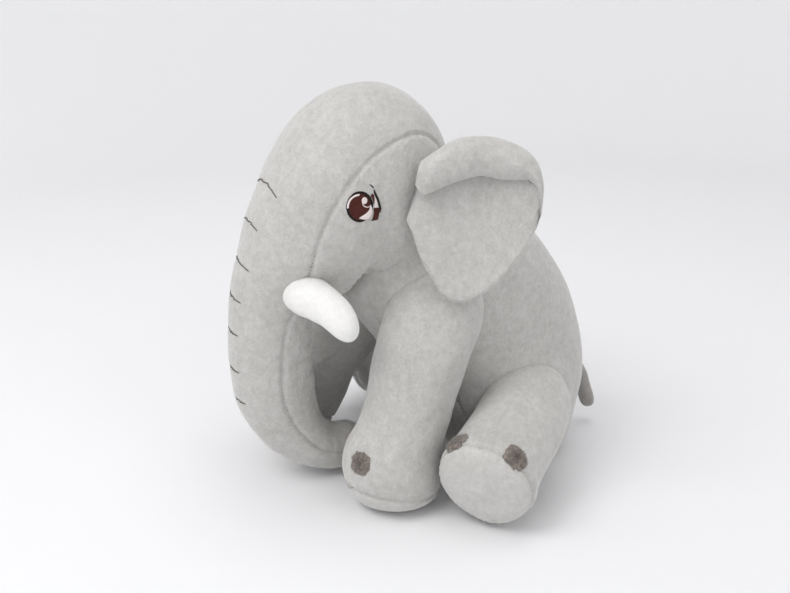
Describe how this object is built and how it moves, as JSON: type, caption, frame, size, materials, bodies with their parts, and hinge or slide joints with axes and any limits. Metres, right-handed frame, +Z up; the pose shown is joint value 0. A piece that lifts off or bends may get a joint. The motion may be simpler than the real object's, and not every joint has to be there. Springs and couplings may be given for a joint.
{
  "type": "stuffed animal",
  "caption": "Sitting stuffed elephant in short-pile plush, with a hanging trunk, folded ears, plush tusks, splayed legs and a short tail that bend at sewn hinges.",
  "frame": {"origin": "centre of the flat seat panel, at the height of the surface the toy sits on", "axes": "+Z up, -Y the way the elephant faces, +X its own left side"},
  "size_m": [0.2548, 0.2611, 0.252],
  "materials": {
    "body_plush": "short velvety pile",
    "filling": "loose polyester fibre",
    "eye_thread": "satin-stitched thread",
    "tusk_plush": "short white pile",
    "toenail_pile": "longer brown-grey pile",
    "sole_plush": "short pale pile",
    "tail_plush": "short dark pile",
    "ear_lining_plush": "short velvety pile"
  },
  "bodies": {
    "body": {"body_panel_left": "body_plush", "body_panel_right": "body_plush", "chest_panel": "body_plush", "seat_panel": "body_plush", "body_stuffing": "filling"},
    "head": {"forehead_panel": "body_plush", "cheek_panel_left": "body_plush", "cheek_panel_right": "body_plush", "chin_panel": "body_plush", "head_stuffing": "filling", "eye_left": "eye_thread", "eye_right": "eye_thread", "tusk_left_cover": "tusk_plush", "tusk_left_stuffing": "filling", "tusk_right_cover": "tusk_plush", "tusk_right_stuffing": "filling"},
    "trunk_upper": {"trunk_upper_front": "body_plush", "trunk_upper_underside": "body_plush", "trunk_upper_stuffing": "filling"},
    "trunk_lower": {"trunk_lower_front": "body_plush", "trunk_lower_underside": "body_plush", "trunk_lower_stuffing": "filling", "trunk_tip_patch": "body_plush"},
    "ear_left": {"ear_left_back": "body_plush", "ear_left_lining": "ear_lining_plush"},
    "ear_right": {"ear_right_back": "body_plush", "ear_right_lining": "ear_lining_plush"},
    "front_leg_left": {"front_leg_left_outer_panel": "body_plush", "front_leg_left_inner_panel": "body_plush", "front_leg_left_sole": "sole_plush", "front_leg_left_stuffing": "filling", "front_leg_left_toenails": "toenail_pile"},
    "front_leg_right": {"front_leg_right_outer_panel": "body_plush", "front_leg_right_inner_panel": "body_plush", "front_leg_right_sole": "sole_plush", "front_leg_right_stuffing": "filling", "front_leg_right_toenails": "toenail_pile"},
    "hind_leg_left": {"hind_leg_left_outer_panel": "body_plush", "hind_leg_left_inner_panel": "body_plush", "hind_leg_left_sole": "sole_plush", "hind_leg_left_stuffing": "filling", "hind_leg_left_toenails": "toenail_pile"},
    "hind_leg_right": {"hind_leg_right_outer_panel": "body_plush", "hind_leg_right_inner_panel": "body_plush", "hind_leg_right_sole": "sole_plush", "hind_leg_right_stuffing": "filling", "hind_leg_right_toenails": "toenail_pile"},
    "tail": {"tail_cover": "tail_plush", "tail_stuffing": "filling"}
  },
  "joints": [
    {"name": "neck_nod", "type": "hinge", "parent": "body", "child": "head", "pos_m": [0, -0.076, 0.163], "axis": [1, 0, 0], "range_deg": [-15, 4], "stiffness_Nm_per_rad": 2.5},
    {"name": "trunk_root_swing", "type": "hinge", "parent": "head", "child": "trunk_upper", "pos_m": [0, -0.165, 0.122], "axis": [1, 0, 0], "range_deg": [-20, 8], "stiffness_Nm_per_rad": 0.6},
    {"name": "trunk_curl", "type": "hinge", "parent": "trunk_upper", "child": "trunk_lower", "pos_m": [0, -0.163, 0.058], "axis": [1, 0, 0], "range_deg": [-15, 18], "stiffness_Nm_per_rad": 0.4},
    {"name": "ear_left_flap", "type": "hinge", "parent": "head", "child": "ear_left", "pos_m": [0.0535, -0.083, 0.189], "axis": [0, -0.2706, -0.9627], "range_deg": [-5, 50], "stiffness_Nm_per_rad": 0.12},
    {"name": "ear_right_flap", "type": "hinge", "parent": "head", "child": "ear_right", "pos_m": [-0.0535, -0.083, 0.189], "axis": [0, 0.2706, 0.9627], "range_deg": [-5, 50], "stiffness_Nm_per_rad": 0.12},
    {"name": "shoulder_left_swing", "type": "hinge", "parent": "body", "child": "front_leg_left", "pos_m": [0.045, -0.075, 0.11], "axis": [-1, 0, 0], "range_deg": [0, 20], "stiffness_Nm_per_rad": 1.2},
    {"name": "shoulder_right_swing", "type": "hinge", "parent": "body", "child": "front_leg_right", "pos_m": [-0.045, -0.075, 0.11], "axis": [-1, 0, 0], "range_deg": [-20, 0], "stiffness_Nm_per_rad": 1.2},
    {"name": "hip_left_lift", "type": "hinge", "parent": "body", "child": "hind_leg_left", "pos_m": [0.0484, -0.005, 0.053], "axis": [-1, 0, 0], "range_deg": [-12, 5], "stiffness_Nm_per_rad": 1.2},
    {"name": "hip_right_lift", "type": "hinge", "parent": "body", "child": "hind_leg_right", "pos_m": [-0.0484, -0.005, 0.053], "axis": [-1, 0, 0], "range_deg": [-12, 5], "stiffness_Nm_per_rad": 1.2},
    {"name": "tail_swing", "type": "hinge", "parent": "body", "child": "tail", "pos_m": [0, 0.0575, 0.043], "axis": [1, 0, 0], "range_deg": [-8, 70], "stiffness_Nm_per_rad": 0.05}
  ]
}
